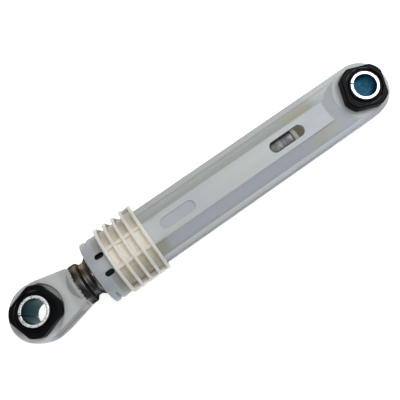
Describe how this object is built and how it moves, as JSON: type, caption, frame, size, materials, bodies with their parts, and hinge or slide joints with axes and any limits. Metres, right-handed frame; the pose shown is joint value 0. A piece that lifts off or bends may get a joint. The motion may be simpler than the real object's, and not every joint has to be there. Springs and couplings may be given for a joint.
{
  "type": "washing machine shock absorber",
  "caption": "Friction damper for a washing machine tub: moulded housing with ribbed collar and clipped-on cap, sliding steel tube, and a rubber-bushed eye at each end.",
  "frame": {"origin": "middle of the bolt bore in the housing's eye", "axes": "X runs along the damper, with the rod leaving along -X; Z runs along the bolt bore of the housing's eye"},
  "size_m": [0.2268, 0.0377, 0.0396],
  "materials": {
    "housing_plastic": "moulded, fine satin",
    "collar_plastic": "moulded, ivory",
    "cap_plastic": "moulded, fine satin",
    "felt": "greased felt",
    "bush_rubber": "moulded rubber",
    "sleeve_steel": "zinc plated",
    "tube_steel": "drawn and polished",
    "eye_plastic": "moulded, fine satin",
    "guide_plastic": "moulded"
  },
  "bodies": {
    "housing": {"housing": "housing_plastic", "ribbed_collar": "collar_plastic", "end_cap": "cap_plastic", "housing_bush": "bush_rubber"},
    "lining": {"friction_lining": "felt"},
    "rod": {"rod_tube": "tube_steel", "rod_eye": "eye_plastic", "rod_guide": "guide_plastic", "rod_bush": "bush_rubber"},
    "housing_sleeve": {"housing_sleeve": "sleeve_steel"},
    "rod_sleeve": {"rod_sleeve": "sleeve_steel"}
  },
  "joints": [
    {"name": "lining_turn", "type": "hinge", "parent": "housing", "child": "lining", "pos_m": [-0.151, 0, 0], "axis": [1, 0, 0], "continuous": true},
    {"name": "rod_slide", "type": "slide", "parent": "lining", "child": "rod", "axis": [-1, 0, 0], "range_m": [-0.0105, 0.094]},
    {"name": "housing_sleeve_turn", "type": "hinge", "parent": "housing", "child": "housing_sleeve", "pos_m": [0, 0, 0], "axis": [0, 0, 1], "range_deg": [-15, 15], "stiffness_Nm_per_rad": 2},
    {"name": "rod_sleeve_turn", "type": "hinge", "parent": "rod", "child": "rod_sleeve", "pos_m": [-0.197, 0, 0], "axis": [0, 0.1045, 0.9945], "range_deg": [-15, 15], "stiffness_Nm_per_rad": 2}
  ]
}
